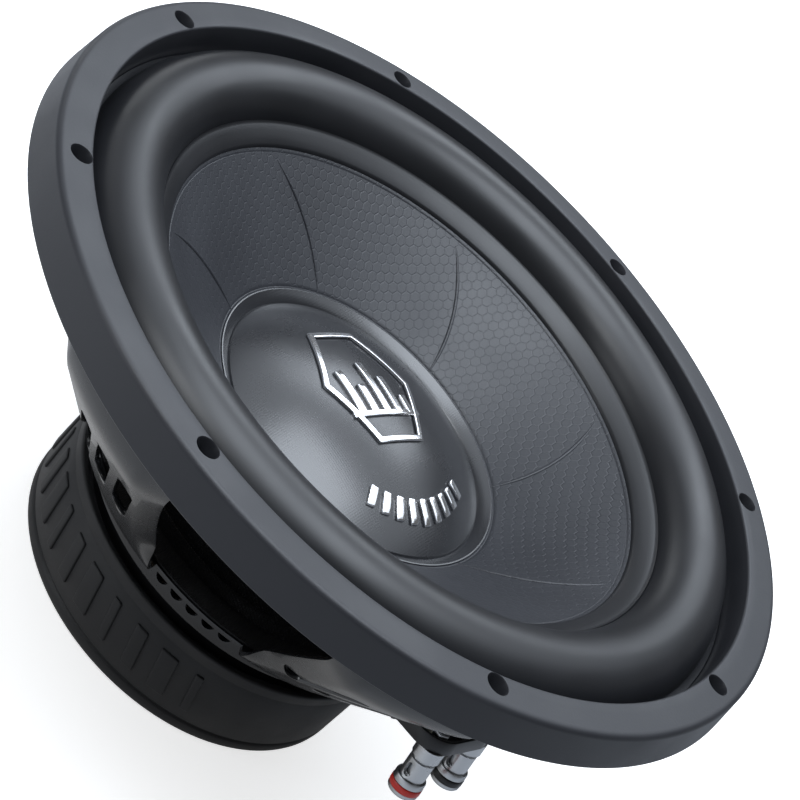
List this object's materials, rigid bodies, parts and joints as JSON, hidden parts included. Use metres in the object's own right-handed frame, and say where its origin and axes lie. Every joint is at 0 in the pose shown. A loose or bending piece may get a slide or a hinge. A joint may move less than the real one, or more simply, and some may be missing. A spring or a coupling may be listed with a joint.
{
  "type": "car subwoofer driver",
  "caption": "Round car subwoofer driver with a thick trim ring, half-roll surround, ribbed cone with a domed cap, windowed steel basket, rubber booted magnet and push terminals.",
  "frame": {"origin": "on the driver's axis, at the back face of the magnet boot, which it stands on", "axes": "+Z along the axis, out of the front of the cone; +X through one of the eight fixing holes"},
  "size_m": [0.315, 0.315, 0.1496],
  "materials": {
    "basket_paint": "dark grey powder coat, semi gloss",
    "gasket_rubber": "matt moulded rubber",
    "surround_rubber": "smooth rubber with a soft sheen",
    "cone_sheet": "embossed cone, satin",
    "cap_sheet": "fine grained dome, satin",
    "badge_chrome": "bright chrome",
    "former_paper": "resin bonded paper",
    "copper_wire": "enamelled copper wire",
    "spider_cloth": "dyed resin treated cotton",
    "plate_black": "black plated steel",
    "ferrite": "pressed ferrite",
    "steel_screen": "punched steel",
    "boot_rubber": "matt moulded rubber",
    "screw_zinc": "zinc plated",
    "bracket_plastic": "black moulded plastic",
    "post_chrome": "satin chrome",
    "tag_tin": "tinned brass",
    "band_red": "red lacquer",
    "band_black": "black lacquer",
    "spring_steel": "spring wire",
    "lead_braid": "flexible copper braid"
  },
  "bodies": {
    "frame": {"basket": "basket_paint", "trim_gasket": "gasket_rubber", "surround": "surround_rubber", "spider": "spider_cloth", "top_plate": "plate_black", "magnet": "ferrite", "yoke": "plate_black", "vent_screen": "steel_screen", "magnet_boot": "boot_rubber", "plate_screws": "screw_zinc", "terminal_bracket": "bracket_plastic", "bracket_rivets": "screw_zinc", "positive_post": "post_chrome", "negative_post": "post_chrome", "positive_nut": "post_chrome", "negative_nut": "post_chrome", "positive_tag": "tag_tin", "negative_tag": "tag_tin", "positive_spring": "spring_steel", "negative_spring": "spring_steel", "positive_lead": "lead_braid", "negative_lead": "lead_braid"},
    "cone": {"cone": "cone_sheet", "dust_cap": "cap_sheet", "cap_badge": "badge_chrome", "badge_ticks": "badge_chrome", "coil_former": "former_paper", "coil_winding": "copper_wire", "former_collar": "former_paper", "lead_eyelets": "tag_tin"},
    "positive_button": {"positive_cap": "post_chrome", "positive_band": "band_red"},
    "negative_button": {"negative_cap": "post_chrome", "negative_band": "band_black"}
  },
  "joints": [
    {"name": "cone_travel", "type": "slide", "parent": "frame", "child": "cone", "axis": [0, 0, 1], "range_m": [-0.01, 0.01], "stiffness_N_per_m": 5000, "deforming": ["surround", "spider", "positive_lead", "negative_lead"]},
    {"name": "positive_push", "type": "slide", "parent": "frame", "child": "positive_button", "axis": [-0.2337, 0.0626, 0.9703], "range_m": [0, 0.002], "stiffness_N_per_m": 600, "springref_m": -0.001, "deforming": ["positive_spring"]},
    {"name": "negative_push", "type": "slide", "parent": "frame", "child": "negative_button", "axis": [-0.2337, 0.0626, 0.9703], "range_m": [0, 0.002], "stiffness_N_per_m": 600, "springref_m": -0.001, "deforming": ["negative_spring"]}
  ]
}
